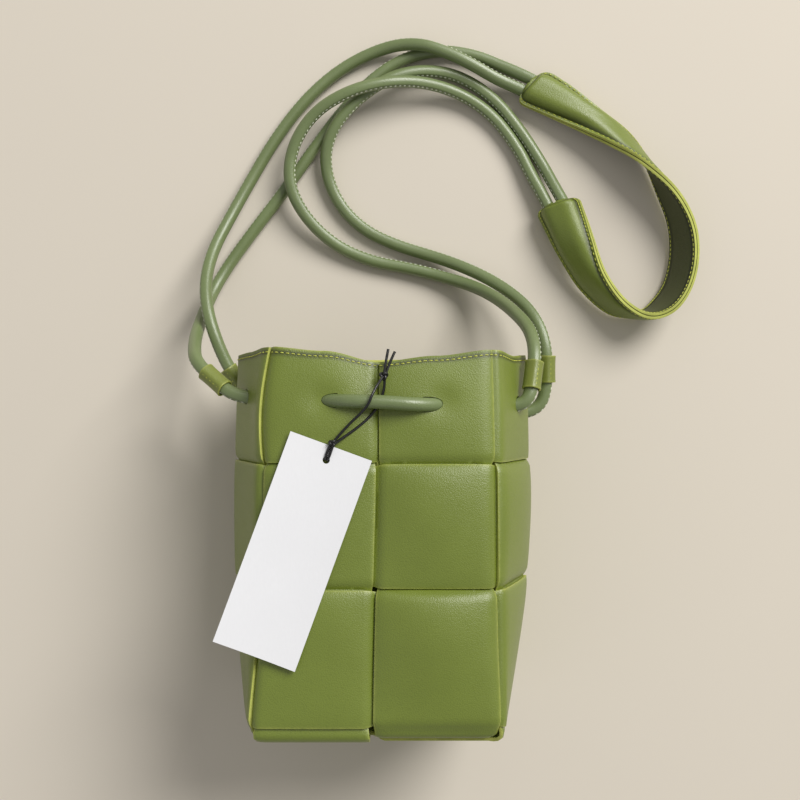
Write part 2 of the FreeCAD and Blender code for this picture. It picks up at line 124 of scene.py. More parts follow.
# A point of its cord's route, and how far along it from there each sleeve's middle lies
SLEEVES = {
    "front_left": (FRONT_ROUTE, 17, 0.0), "front_right": (FRONT_ROUTE, 28, 0.0025),
    "rear_left": (REAR_ROUTE, 17, -0.0035), "rear_right": (REAR_ROUTE, 30, 0.0)}
SEAM_ROLL = 0.75          # how far a cord's seam leans to its right, in radians
SEAM_UNDER = 2.3          # and where the cord crosses the bag's front
CORD_PITCH = 0.0029       # from one stitch of a cord to the next
CORD_STITCH = (0.0019, 0.0009)    # length and thickness of a stitch of a cord
SLEEVE_STITCH = (0.0019, 0.0005)  # and of a sleeve
HOLES = (18, 20, 23, 25)  # the run of each route, by its first point, that goes through the body

# The two edges of the shoulder pad, from the end over the left strands to the other end
PAD_EDGES = [
    ((0.0769, 0.2492, 0.0072), (0.0941, 0.2686, 0.0062)),
    ((0.0939, 0.2417, 0.0082), (0.1112, 0.2576, 0.0062)),
    ((0.1149, 0.2312, 0.0125), (0.1282, 0.2441, 0.0045)),
    ((0.1342, 0.2205, 0.018), (0.145, 0.2307, 0.0026)),
    ((0.1505, 0.2097, 0.0225), (0.1551, 0.2159, 0.0024)),
    ((0.1676, 0.1941, 0.0234), (0.1622, 0.1981, 0.0024)),
    ((0.1782, 0.1759, 0.0224), (0.1693, 0.1779, 0.0024)),
    ((0.1808, 0.157, 0.0214), (0.1705, 0.1595, 0.0024)),
    ((0.1767, 0.1388, 0.0219), (0.167, 0.1427, 0.0024)),
    ((0.1668, 0.1256, 0.0234), (0.16, 0.1316, 0.0024)),
    ((0.1531, 0.1217, 0.024), (0.1511, 0.1247, 0.0024)),
    ((0.1393, 0.1299, 0.022), (0.1343, 0.1254, 0.0026)),
    ((0.1273, 0.147, 0.018), (0.1175, 0.1388, 0.0032)),
    ((0.1207, 0.167, 0.0125), (0.1045, 0.1576, 0.0045)),
    ((0.1166, 0.1814, 0.0082), (0.0954, 0.1736, 0.0062)),
    ((0.113, 0.1923, 0.0072), (0.0897, 0.1849, 0.0062))]
PAD_LEAN = 0.01           # how far the pad's edge rises where it leans over towards its far end
PAD_CORNER = 0.0085       # how round its four corners are
PAD_FLAT = 0.0006         # how high its channel is past the cords' ends
PAD_FULL = 0.03           # how far from an end the channel keeps its full height
PAD_FALL = 0.035          # and in what length it then falls away
PAD_DOME = 0.0008         # how far its outer layer bulges over the channel
PAD_UNDERSIDE = 0.8       # how high the channel is below the cords, against above them
PAD_LIP = 0.0016          # how far each end is pressed down
PAD_GROOVE = 0.00045      # how deep the groove inside the border is

# The tag's own directions, and the string that ties it round the front cord
TAG_CENTRE = Vector((-0.0432, -0.001, 0.1103))
TAG_UP = Vector((0.343, 0.939, -0.039)).normalized()
TAG_ACROSS = Vector((0.939, -0.343, 0.014)).normalized()
TAG_FACE = TAG_ACROSS.cross(TAG_UP).normalized()
TAG_LENGTH = 0.11
TAG_WIDTH = 0.043
TAG_HOLE_DROP = 0.0074    # from the tag's upper edge to the middle of its hole
KNOT = Vector((0.0017, 0.0855, 0.1078))
LOWER_KNOT = Vector((-0.0237, 0.052, 0.1101))
OVER_STRAND = [
    (-0.0237, 0.0518, 0.1098), (-0.0225, 0.0539, 0.11), (-0.0144, 0.0626, 0.111),
    (-0.0092, 0.0672, 0.1134), (-0.0056, 0.0715, 0.1158), (-0.0042, 0.0755, 0.1158),
    (-0.0019, 0.0802, 0.1134), (0.0012, 0.0849, 0.1088)]
UNDER_STRAND = [
    (-0.0232, 0.0515, 0.1096), (-0.0206, 0.0533, 0.1092), (-0.0102, 0.0606, 0.1074),
    (-0.0038, 0.0666, 0.1058), (0.0004, 0.0735, 0.1053), (0.0022, 0.0804, 0.1057),
    (0.002, 0.085, 0.1072)]
TAILS = [[(0.0019, 0.0866, 0.1086), (0.0026, 0.0924, 0.1084), (0.0039, 0.0988, 0.1074)],
         [(0.0026, 0.0864, 0.1082), (0.0044, 0.0918, 0.1076), (0.0072, 0.0976, 0.1064)]]


# Settings a user may change

def length(name, description, default):
    return FloatProperty(name=name, description=description, default=default, min=0.0, unit="LENGTH",
                         precision=5)


def colour(name, description, default):
    return FloatVectorProperty(name=name, description=description, default=default, size=3,
                               min=0.0, max=1.0, subtype="COLOR")


class BagSizes(bpy.types.PropertyGroup):
    """Sizes of the leather, the thread and the cords."""
    leather: length("Leather", "Thickness of the woven strips", 0.0018)
    layer: length("Layer", "From the middle of the weave to the middle of a strip", 0.00105)
    edge_over: length("Edge gap, over", "From a square's side to the edge of a strip on top", 0.0005)
    edge_under: length("Edge gap, under", "The same for a strip underneath", 0.0014)
    climb: length("Climb", "Length in which a strip comes up from under its neighbour", 0.0052)
    facing: length("Facing", "Thickness of the facing inside the mouth", 0.0012)
    facing_height: length("Facing height", "How far the facing reaches down", 0.012)
    cord: length("Cord", "Diameter of the strap cord", 0.007)
    hole_room: length("Hole room", "Between a cord and the edge of its hole", 0.0004)
    sleeve: length("Sleeve", "Length of a cord sleeve", 0.015)
    sleeve_wall: length("Sleeve wall", "Thickness of a sleeve's leather", 0.001)
    sleeve_room: length("Sleeve room", "Between a cord and its sleeve", 0.0003)
    pad_leather: length("Pad leather", "Thickness of one layer of the shoulder pad", 0.0015)
    pad_border: length("Pad border", "Width of the pad's stitched border", 0.0025)
    pad_room: length("Pad room", "Height of the pad's channel over the cords, from its seam", 0.005)
    stitch: length("Stitch", "Length of a stitch", 0.002)
    stitch_pitch: length("Stitch pitch", "From one stitch to the next", 0.0027)
    thread: length("Thread", "Thickness of the thread", 0.0006)
    string: length("String", "Thickness of the tag's string", 0.0014)
    card: length("Card", "Thickness of the tag", 0.0006)


class BagColours(bpy.types.PropertyGroup):
    """Colours of the leathers, threads, paper and string."""
    leather: colour("Leather", "The woven strips and the pad", (0.162, 0.212, 0.023))
    raw_edge: colour("Raw edge", "Cut edges of the leather", (0.58, 0.62, 0.14))
    # On the pad's inner layer this dark colour is painted shade
    facing: colour("Facing", "The facing and the pad's inner layer", (0.048, 0.058, 0.008))
    thread: colour("Thread", "Stitches round the mouth and the pad", (0.66, 0.70, 0.11))
    cord: colour("Cord", "Leather of the strap cord", (0.165, 0.215, 0.085))
    cord_thread: colour("Cord thread", "Stitches along the cord", (0.66, 0.70, 0.54))
    sleeve: colour("Sleeve", "Leather of the cord sleeves", (0.185, 0.222, 0.032))
    card: colour("Card", "Paper of the tag", (0.88, 0.885, 0.92))
    string: colour("String", "Waxed string of the tag", (0.012, 0.012, 0.013))


class BagStage(bpy.types.PropertyGroup):
    """The floor, the lights and the camera."""
    floor: colour("Floor", "Colour of the floor", (0.71, 0.652, 0.567))
    key: FloatProperty(name="Key light", description="Power of the large soft light", default=152.0,
                       min=0.0, unit="POWER")
    fill: FloatProperty(name="Fill light", description="Power of the weak light opposite", default=0.8,
                        min=0.0, unit="POWER")
    sky: FloatProperty(name="Sky", description="Strength of the light all round", default=0.35, min=0.0)
    camera_height: length("Camera height", "Height of the camera above the floor", 0.657)
    lens: FloatProperty(name="Lens", description="Focal length of the camera in millimetres",
                        default=49.7, min=1.0, subtype="DISTANCE_CAMERA", unit="CAMERA")


def sizes():
    return bpy.context.scene.woven_bag_sizes


def colours():
    return bpy.context.scene.woven_bag_colours


# Shaping helpers

def deselect():
    if bpy.context.mode != "OBJECT":
        bpy.ops.object.mode_set(mode="OBJECT")
    bpy.ops.object.select_all(action="DESELECT")


def smooth(share):
    """0 to 1, easing in and out."""
    share = min(max(share, 0.0), 1.0)
    return share * share * (3 - 2 * share)


def use_modifier(piece, kind, **settings):
    """Adds a modifier and applies it."""
    bpy.context.view_layer.objects.active = piece
    modifier = piece.modifiers.new(kind.title(), kind)
    for key, value in settings.items():
        setattr(modifier, key, value)
    bpy.ops.object.modifier_apply(modifier=modifier.name)


def shaped_grid(name, across, along, place, edge=None, seam=None, joined=False, capped=False):
    """A grid of faces moved to place(a, b), a across and b along it, both from 0 to 1.

    edge(a, b) and seam(a, b) are stored on its points: how near a cut edge or a stitched line they
    are. A joined grid's sides or ends meet and are merged, and a capped one's open ends are filled.
    """
    deselect()
    bpy.ops.mesh.primitive_grid_add(x_subdivisions=across, y_subdivisions=along, size=1)
    piece = bpy.context.object
    piece.name = piece.data.name = name
    spots = [(vertex.co.x + 0.5, vertex.co.y + 0.5) for vertex in piece.data.vertices]
    for vertex, (a, b) in zip(piece.data.vertices, spots):
        vertex.co = place(a, b)
    for label, near in (("edge", edge), ("seam", seam)):
        values = [near(a, b) if near else 0.0 for a, b in spots]
        piece.data.attributes.new(label, "FLOAT", "POINT").data.foreach_set("value", values)
    bpy.ops.object.mode_set(mode="EDIT")
    bpy.ops.mesh.select_all(action="SELECT")
    if joined:
        bpy.ops.mesh.remove_doubles(threshold=1e-6)
    if capped:
        bpy.ops.mesh.fill_holes(sides=0)
        bpy.ops.mesh.normals_make_consistent(inside=False)
    bpy.ops.object.mode_set(mode="OBJECT")
    return piece


def give_thickness(piece, thickness, round_over):
    """Turns a sheet into leather of that thickness with slightly rounded cut edges."""
    use_modifier(piece, "SOLIDIFY", thickness=thickness, offset=0.0, material_offset_rim=1)
    use_modifier(piece, "BEVEL", width=round_over, segments=2, limit_method="ANGLE",
                 angle_limit=math.radians(60))


def set_finish(piece, *materials):
    piece.data.materials.clear()
    for material in materials:
        piece.data.materials.append(material)


def complete(piece, body, slot, *nodes, angle=40):
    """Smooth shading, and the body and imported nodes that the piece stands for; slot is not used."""
    deselect()
    piece.select_set(True)
    bpy.context.view_layer.objects.active = piece
    bpy.ops.object.shade_smooth_by_angle(angle=math.radians(angle))
    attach(piece, body)
    if nodes:
        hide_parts(*nodes)
    return piece


def even_line(points, spacing):
    """Points that far apart along the smooth line with these control points."""
    curve = bpy.data.curves.new("line", "CURVE")
    curve.dimensions = "3D"
    curve.resolution_u = 16
    spline = curve.splines.new("NURBS")
    spline.points.add(len(points) - 1)
    for control, point in zip(spline.points, points):
        control.co = (*point, 1.0)
    spline.order_u = 3
    spline.use_endpoint_u = True
    holder = bpy.data.objects.new("line", curve)
    line = bpy.data.meshes.new_from_object(holder)
    fine = [vertex.co.copy() for vertex in line.vertices]
    bpy.data.objects.remove(holder)
    bpy.data.curves.remove(curve)
    bpy.data.meshes.remove(line)
    travelled = [0.0]
    for before, after in zip(fine, fine[1:]):
        travelled.append(travelled[-1] + (after - before).length)
    count = max(2, round(travelled[-1] / spacing))
    even, k = [], 0
    for step in range(count + 1):
        target = travelled[-1] * step / count
        while k < len(fine) - 2 and travelled[k + 1] < target:
            k += 1
        span = travelled[k + 1] - travelled[k]
        even.append(fine[k].lerp(fine[k + 1], (target - travelled[k]) / span if span else 0.0))
    return even


def line_directions(line):
    last = len(line) - 1
    return [(line[min(k + 1, last)] - line[max(k - 1, 0)]).normalized() for k in range(last + 1)]


def carried_sides(line, wanted=lambda point, heading: None):
    """A direction square to the line at each of its points, turning as little as it can.

    wanted(point, heading) is the side it drifts towards, or None where any side will do.
    """
    sides, side = [], None
    for point, heading in zip(line, line_directions(line)):
        goal = wanted(point, heading)
        if side is None:
            side = goal or heading.orthogonal()
        elif goal:
            side = side.lerp(goal, 0.12)
        side = (side - heading * side.dot(heading)).normalized()
        sides.append(side.copy())
    return sides


def tube_along(name, line, sides, ring):
    """A closed tube: ring lists (angle from the carried side, radius) once round."""
    headings = line_directions(line)
    last = len(line) - 1

    def place(a, b):
        k, spot = round(b * last), round(a * len(ring)) % len(ring)
        angle, radius = ring[spot]
        beside = headings[k].cross(sides[k])
        return line[k] + (sides[k] * math.cos(angle) + beside * math.sin(angle)) * radius

    return shaped_grid(name, len(ring), last, place, joined=True, capped=True)


def round_ring(radius, count):
    return [(2 * math.pi * k / count, radius) for k in range(count)]


def copies_of(name, template, placements):
    """One piece made of a copy of the template's mesh at each placement."""
    shape = bmesh.new()
    for placement in placements:
        known = len(shape.verts)
        shape.from_mesh(template.data)
        shape.verts.ensure_lookup_table()
        bmesh.ops.transform(shape, matrix=placement, verts=shape.verts[known:])
    mesh = bpy.data.meshes.new(name)
    shape.to_mesh(mesh)
    shape.free()
    piece = bpy.data.objects.new(name, mesh)
    bpy.context.scene.collection.objects.link(piece)
    return piece


def stitch_template(stitch_length, thickness):
    """A rounded stitch along X, its two ends dipping into the leather."""
    deselect()
    bpy.ops.mesh.primitive_uv_sphere_add(segments=8, ring_count=6, radius=0.5)
    template = bpy.context.object
    bpy.ops.object.mode_set(mode="EDIT")
    bpy.ops.mesh.select_all(action="SELECT")
    bpy.ops.transform.rotate(value=math.pi / 2, orient_axis="Y", center_override=(0, 0, 0))
    bpy.ops.transform.resize(value=(stitch_length, thickness, thickness))
    bpy.ops.object.mode_set(mode="OBJECT")
    for vertex in template.data.vertices:
        along = vertex.co.x / (stitch_length / 2)
        vertex.co.x = stitch_length / 2 * math.copysign(abs(along) ** 0.8, along)
        vertex.co.z -= thickness * 0.35 * along * along
    return template


def standing(position, heading, out):
    """A placement with X along heading and Z as near to out as that allows."""
    along = heading.normalized()
    out = (out - along * out.dot(along)).normalized()
    across = out.cross(along)
    placement = Matrix((along, across, out)).transposed().to_4x4()
    placement.translation = position
    return placement


def stitch_row(name, spots, thread_length, thickness):
    """Stitches at spots, each (position, heading, out)."""
    template = stitch_template(thread_length, thickness)
    row = copies_of(name, template, [standing(*spot) for spot in spots])
    bpy.data.objects.remove(template)
    return row


# The body's surface, halfway between the two layers of the weave

def at_line(values, v):
    """A value at height v from its values at the four lines, eased where two rows meet."""
    v = min(max(v, 0.0), float(ROWS))
    knot = min(max(round(v), 1), ROWS - 1)
    if abs(v - knot) < LINE_EASE:
        t = (v - knot + LINE_EASE) / (2 * LINE_EASE)
        before = values[knot] + (values[knot - 1] - values[knot]) * LINE_EASE
        after = values[knot] + (values[knot + 1] - values[knot]) * LINE_EASE
        return (1 - t) ** 2 * before + 2 * t * (1 - t) * values[knot] + t * t * after
    row = min(int(v), ROWS - 1)
    return values[row] + (v - row) * (values[row + 1] - values[row])


@functools.lru_cache(maxsize=65536)
def folds(v):
    """The eight corners of the body at height v, from the left front fold clockwise."""
    face, back = at_line(FACE, v), at_line(BACK, v)
    left, middle, right = at_line(FRONT_LEFT, v), at_line(MIDDLE, v), at_line(FRONT_RIGHT, v)
    centre = (face + back) / 2
    corners = [(left, face), (middle, face), (right, face), (at_line(SIDE_RIGHT, v), centre),
               (right, back), (middle, back), (left, back), (at_line(SIDE_LEFT, v), centre)]
    return [Vector((x, 0.0, z)) for x, z in corners]


def rim_rise(u, v):
    """How far the rim's wave lifts this place; it dies away by the middle of the upper band."""
    spot = (u % COLUMNS) * 2
    k = int(spot)
    wave = RIM_WAVE[k] + (RIM_WAVE[(k + 1) % len(RIM_WAVE)] - RIM_WAVE[k]) * smooth(spot - k)
    return wave * max(0.0, 1 - v / 0.6) ** 2


def body_point(u, v):
    corners = folds(v)
    ease = FOLD_EASE * (1 - 0.6 * smooth((v - 2.3) / 0.7))
    nearest = round(u)
    away = u - nearest
    fold, before, after = (corners[(nearest + k) % COLUMNS] for k in (0, -1, 1))
    if abs(away) >= ease:
        point = fold.lerp(after if away > 0 else before, abs(away))
    else:
        t = (away + ease) / (2 * ease)
        low, high = fold.lerp(before, ease), fold.lerp(after, ease)
        point = low * (1 - t) ** 2 + fold * (2 * t * (1 - t)) + high * t * t
    if nearest % COLUMNS == 0 and v < 1:
        point.x -= FOLD_BOW * math.sin(math.pi * v) * max(0.0, 1 - abs(away) / 0.4) ** 2
    point.y = at_line(LINES, v) + rim_rise(u, v)
    return point


def crown(u, v):
    """How far the square at (u, v) swells outwards there."""
    row = min(max(math.floor(v), 0), ROWS - 1)
    column = math.floor(u) % COLUMNS
    a = (u - math.floor(u)) ** (1.5 if column == 0 else 1.0)
    b = min(max(v - row, 0.0), 1.0) ** CROWN_SHIFT[row]
    swell = CROWNS[row][column]
    pulled = sum(math.exp(-((u % COLUMNS - x) ** 2 + (v - y) ** 2) / 0.02) for x, y in PUCKERS)
    return (swell * max(0.0, math.sin(math.pi * a) * math.sin(math.pi * b)) ** 0.8
            - PUCKER_DEPTH * pulled)


def lifted(middle, a, b, lift):
    """middle(a, b) moved outwards, square to its surface."""
    step = 0.004
    point = middle(a, b)
    around = middle(a + step, b) - middle(a - step, b)
    down = middle(a, b + step) - middle(a, b - step)
    return point + down.cross(around).normalized() * lift


def on_body(u, v, lift):
    return lifted(body_point, u, v, lift + crown(u, v))


# The woven strips

def level(position, over, closed):
    """1 where a strip runs over its neighbours and -1 where it runs under, easing between."""
    line = round(position)
    if not closed and line in (0, len(over)):
        return 1.0 if over[min(line, len(over) - 1)] else -1.0
    after = over[line % len(over)]
    into_top = (position - line) * PITCH * (1 if after else -1)
    lead = 0.0014
    return -1 + 2 * smooth((into_top + lead) / sizes().climb)


def lie(a, height):
    """A strip's inset and lift at a across it, for its level there."""
    over = (height + 1) / 2
    inset = sizes().edge_under + (sizes().edge_over - sizes().edge_under) * over
    to_edge = min(a, 1 - a) * PITCH
    dip = 0.0009 * max(0.0, 1 - to_edge / 0.004) ** 2 * (1 - over)
    curl = 0.00018 * max(0.0, 1 - to_edge / 0.005) ** 2 * over
    return inset, sizes().layer * height - dip - curl


def edge_nearness(a, b):
    """0 to 1, how near a place is to a strip's cut edge; b, along the strip, makes no difference."""
    return max(0.0, 1 - min(a, 1 - a) * PITCH / 0.004)


def stitched(v):
    """How near height v is to the line of stitches under the rim."""
    return math.exp(-((v - STITCH_LINE) / 0.021) ** 2)


def finer_ends(b):
    """Along a long strip, cells counted from 0 to 8, with more rows of faces by the rim."""
    g = b * 8
    if g < 1:
        return g ** RIM_FINER
    return 8 - (8 - g) ** RIM_FINER if g > 7 else g


def band_piece(row, name):
    """One closed band round the body."""
    over = [(column + row) % 2 == 0 for column in range(COLUMNS)]
    finer = RIM_FINER if row == 0 else 1.0

    def place(a, b):
        u = b * COLUMNS
        down = a ** finer
        inset, lift = lie(down, level(u, over, closed=True))
        top = 0.0 if row == 0 else inset / PITCH
        v = row + top + down * (1 - top - inset / PITCH)
        return on_body(u, v, lift)

    # Nearness to the rim stitches, from which the leather paints shade along their groove
    seam = (lambda a, b: stitched(a ** finer)) if row == 0 else None
    edge = lambda a, b: edge_nearness(a ** finer, b)
    return shaped_grid(name, 30, 32 * COLUMNS, place, edge, seam, joined=True)


def under_base(strip, a, g):
    """The middle of a strip where it runs under the base, g from 3 to 5."""
    down, up, lengthwise, low, high = strip
    start, end = body_point(down + a, ROWS), body_point(up + 1 - a, ROWS)
    beside = low + (high - low) * a
    if lengthwise:
        near = Vector((beside, BASE, FACE[3] - BASE_ROUND))
        far = Vector((beside, BASE, BACK[3] + BASE_ROUND))
    else:
        near = Vector((FRONT_LEFT[3] + BASE_ROUND, BASE, beside))
        far = Vector((FRONT_RIGHT[3] - BASE_ROUND, BASE, beside))
    turn = 0.15
    for wall, flat, share in ((start, near, (g - 3) / turn), (end, far, (5 - g) / turn)):
        if share < 1:
            corner = Vector((wall.x, BASE, wall.z))
            return wall * (1 - share) ** 2 + corner * (2 * share * (1 - share)) + flat * share ** 2
    return near.lerp(far, (g - 3 - turn) / (2 - 2 * turn))


def long_strip(name, strip, first_over):
    """A strip from the rim down one wall, under the base and up the opposite wall."""
    down, up = strip[:2]
    over = [(k % 2 == 0) == first_over for k in range(8)]

    def middle(a, g):
        if g <= ROWS:
            return body_point(down + a, g)
        if g >= 5:
            return body_point(up + 1 - a, 8 - g)
        return under_base(strip, a, g)

    def swell(a, g):
        if g <= ROWS:
            return crown(down + a, g)
        return crown(up + 1 - a, 8 - g) if g >= 5 else 0.0

    def place(a, b):
        g = finer_ends(b)
        inset, lift = lie(a, level(g, over, closed=False))
        room = (inset + 0.0004) / PITCH
        across = room + a * (1 - 2 * room)
        return lifted(middle, across, min(max(g, 0.004), 7.996), lift + swell(across, g))

    seam = lambda a, b: stitched(finer_ends(b)) + stitched(8 - finer_ends(b))
    return shaped_grid(name, 26, 32 * 8, place, edge_nearness, seam)


def hole_cutters():
    """Rods along the cords where they go through the body, joined into one piece."""
    rods = []
    for route in (FRONT_ROUTE, REAR_ROUTE):
        for first in HOLES:
            line = even_line(route[first - 1:first + 3], 0.002)
            middle = (Vector(route[first]) + Vector(route[first + 1])) / 2
            near = [point for point in line if (point - middle).length < 0.0125]
            sides = carried_sides(near)
            rods.append(tube_along("rod", near, sides, round_ring(
                sizes().cord / 2 + sizes().hole_room, 28)))
    deselect()
    for rod in rods:
        rod.select_set(True)
    bpy.context.view_layer.objects.active = rods[0]
    bpy.ops.object.join()
    return rods[0]


# Materials

def node(tree, kind, **settings):
    made = tree.nodes.new(kind)
    for key, value in settings.items():
        if key in made.inputs:
            made.inputs[key].default_value = value
        else:
            setattr(made, key, value)
    return made


def effect_group(name, inputs, outputs):
    """A new shader node group, its sockets made, with its group input and output nodes."""
    group = bpy.data.node_groups.new(name, "ShaderNodeTree")
    for socket, kind, default in inputs:
        made = group.interface.new_socket(socket, in_out="INPUT", socket_type=kind)
        if default is not None:
            made.default_value = default
    for socket in outputs:
        group.interface.new_socket(socket, in_out="OUTPUT", socket_type="NodeSocketFloat")
    return group, group.nodes.new("NodeGroupInput"), group.nodes.new("NodeGroupOutput")


def pebble_grain():
    """Small rounded pebbles with fine creases between them, as on pressed leather."""
    name = "Pebble grain"
    if name in bpy.data.node_groups:
        return bpy.data.node_groups[name]
    group, entry, leave = effect_group(name, [
        ("Vector", "NodeSocketVector", None), ("Scale", "NodeSocketFloat", 900.0),
        ("Unevenness", "NodeSocketFloat", 0.5)], ["Height", "Crease"])
    join = group.links.new
    wobble = node(group, "ShaderNodeTexNoise", Scale=160.0, Detail=2.0)
    shift = node(group, "ShaderNodeVectorMath", operation="SCALE")
    shift.inputs["Scale"].default_value = 0.0012
    moved = node(group, "ShaderNodeVectorMath", operation="ADD")
    cells = node(group, "ShaderNodeTexVoronoi", feature="SMOOTH_F1")
    cells.inputs["Smoothness"].default_value = 0.35
    rise = node(group, "ShaderNodeMapRange")
    rise.inputs["From Min"].default_value = 0.75
    rise.inputs["From Max"].default_value = 0.1
    rough = node(group, "ShaderNodeTexNoise", Detail=5.0)
    double = node(group, "ShaderNodeMath", operation="MULTIPLY")
    double.inputs[1].default_value = 2.7
    uneven = node(group, "ShaderNodeMath", operation="MULTIPLY_ADD")
    crease = node(group, "ShaderNodeMapRange")
    crease.inputs["From Min"].default_value = 0.5
    crease.inputs["From Max"].default_value = 0.8
    join(entry.outputs["Vector"], wobble.inputs["Vector"])
    join(wobble.outputs["Color"], shift.inputs[0])
    join(shift.outputs[0], moved.inputs[0])
    join(entry.outputs["Vector"], moved.inputs[1])
    join(moved.outputs[0], cells.inputs["Vector"])
    join(entry.outputs["Scale"], cells.inputs["Scale"])
    join(cells.outputs["Distance"], rise.inputs["Value"])
    join(cells.outputs["Distance"], crease.inputs["Value"])
    join(entry.outputs["Scale"], double.inputs[0])
    join(double.outputs[0], rough.inputs["Scale"])
    join(entry.outputs["Vector"], rough.inputs["Vector"])
    join(rough.outputs["Fac"], uneven.inputs[0])
    join(entry.outputs["Unevenness"], uneven.inputs[1])
    join(rise.outputs[0], uneven.inputs[2])
    join(uneven.outputs[0], leave.inputs["Height"])
    join(crease.outputs[0], leave.inputs["Crease"])
    return group


def soft_mottle():
    """Broad uneven dyeing with finer cloudiness in it, from 0 to 1."""
    name = "Soft mottle"
    if name in bpy.data.node_groups:
        return bpy.data.node_groups[name]
    group, entry, leave = effect_group(name, [
        ("Vector", "NodeSocketVector", None), ("Scale", "NodeSocketFloat", 40.0)], ["Shade"])
    join = group.links.new
    broad = node(group, "ShaderNodeTexNoise", Detail=4.0, Roughness=0.62)
    spread = node(group, "ShaderNodeMapRange")
    spread.inputs["From Min"].default_value = 0.3
    spread.inputs["From Max"].default_value = 0.7
    join(entry.outputs["Vector"], broad.inputs["Vector"])
    join(entry.outputs["Scale"], broad.inputs["Scale"])
    join(broad.outputs["Fac"], spread.inputs["Value"])
    join(spread.outputs[0], leave.inputs["Shade"])
    return group


def edge_wear():
    """Patchy rubbing towards cut edges, from how near to one a place is."""
    name = "Edge wear"
    if name in bpy.data.node_groups:
        return bpy.data.node_groups[name]
    group, entry, leave = effect_group(name, [
        ("Vector", "NodeSocketVector", None), ("Nearness", "NodeSocketFloat", 0.0),
        ("Amount", "NodeSocketFloat", 0.6)], ["Mask"])
    join = group.links.new
    patches = node(group, "ShaderNodeTexNoise", Scale=330.0, Detail=4.0)
    close = node(group, "ShaderNodeMath", operation="POWER")
    close.inputs[1].default_value = 6.0
    rubbed = node(group, "ShaderNodeMath", operation="MULTIPLY")
    scaled = node(group, "ShaderNodeMath", operation="MULTIPLY", use_clamp=True)
    join(entry.outputs["Vector"], patches.inputs["Vector"])
    join(entry.outputs["Nearness"], close.inputs[0])
    join(close.outputs[0], rubbed.inputs[0])
    join(patches.outputs["Fac"], rubbed.inputs[1])
    join(rubbed.outputs[0], scaled.inputs[0])
    join(entry.outputs["Amount"], scaled.inputs[1])
    join(scaled.outputs[0], leave.inputs["Mask"])
    return group


def placed(tree, group, **values):
    made = tree.nodes.new("ShaderNodeGroup")
    made.node_tree = group
    for socket, value in values.items():
        made.inputs[socket].default_value = value
    return made


def new_material(name):
    material = bpy.data.materials.new(name)
    material.use_nodes = True
    tree = material.node_tree
    return material, tree, tree.nodes["Principled BSDF"]


def blended(tree, factor, low, high, kind="MIX"):
    """A colour between two colours or sockets by a factor socket."""
    mix = node(tree, "ShaderNodeMix", data_type="RGBA", blend_type=kind)
    tree.links.new(factor, mix.inputs[0])
    for socket, value in ((mix.inputs[6], low), (mix.inputs[7], high)):
        if isinstance(value, bpy.types.NodeSocket):
            tree.links.new(value, socket)
        else:
            socket.default_value = (*value, 1.0)
    return mix.outputs[2]


def scaled_colour(value, share):
    return tuple(min(1.0, channel * share) for channel in value)


def leather(name, base, worn, scale=1750.0, depth=0.00007, roughness=0.4, mottle=16.0,
            spread=0.07, wear=0.75):
    """Dyed leather: mottled colour, painted shade in the fine creases and along stitched lines, worn edges
    and a pebbled surface.
    """
    if name in bpy.data.materials:
        return bpy.data.materials[name]
    material, tree, shader = new_material(name)
    join = tree.links.new
    place = node(tree, "ShaderNodeTexCoord").outputs["Object"]
    grain = placed(tree, pebble_grain(), Scale=scale, Unevenness=0.45)
    shade = placed(tree, soft_mottle(), Scale=mottle)
    rubbed = placed(tree, edge_wear(), Amount=wear)
    near = node(tree, "ShaderNodeAttribute", attribute_name="edge")
    for group in (grain, shade, rubbed):
        join(place, group.inputs["Vector"])
    join(near.outputs["Fac"], rubbed.inputs["Nearness"])
    dyed = blended(tree, shade.outputs["Shade"], scaled_colour(base, 1 - spread),
                   scaled_colour(base, 1 + spread))
    # Painted shade: the grain's creases are darkened in the colour
    crease = node(tree, "ShaderNodeMath", operation="MULTIPLY")
    crease.inputs[1].default_value = 0.2
    join(grain.outputs["Crease"], crease.inputs[0])
    crease_shaded = blended(tree, crease.outputs[0], dyed, scaled_colour(base, 0.6))
    # Painted shade: the colour goes nearly black in the groove along each stitched line, by the seam
    # attribute
    groove_shade = node(tree, "ShaderNodeMath", operation="MULTIPLY")
    groove_shade.inputs[1].default_value = 0.95
    join(node(tree, "ShaderNodeAttribute", attribute_name="seam").outputs["Fac"], groove_shade.inputs[0])
    groove_shaded = blended(tree, groove_shade.outputs[0], crease_shaded, scaled_colour(base, 0.15))
    join(blended(tree, rubbed.outputs["Mask"], groove_shaded, worn), shader.inputs["Base Color"])
    gloss = node(tree, "ShaderNodeMapRange")
    gloss.inputs["To Min"].default_value = roughness - 0.03
    gloss.inputs["To Max"].default_value = roughness + 0.06
    join(shade.outputs["Shade"], gloss.inputs["Value"])
    join(gloss.outputs[0], shader.inputs["Roughness"])
    relief = node(tree, "ShaderNodeBump", Strength=1.0, Distance=depth)
    join(grain.outputs["Height"], relief.inputs["Height"])
    join(relief.outputs["Normal"], shader.inputs["Normal"])
    shader.inputs["Specular IOR Level"].default_value = 0.8
    return material


def patterned(tree, shader, base, place, pattern, mottle, tones, relief):
    """Mottled between the last two tones of the base colour, with the first one and relief by a pattern."""
    join = tree.links.new
    shade = placed(tree, soft_mottle(), Scale=mottle)
    join(place, shade.inputs["Vector"])
    dark, low, high = (scaled_colour(base, tone) for tone in tones)
    tinted = blended(tree, shade.outputs["Shade"], low, high)
    join(blended(tree, pattern, dark, tinted), shader.inputs["Base Color"])
    strength, depth = relief
    bump = node(tree, "ShaderNodeBump", Strength=strength, Distance=depth)
    join(pattern, bump.inputs["Height"])
    join(bump.outputs["Normal"], shader.inputs["Normal"])


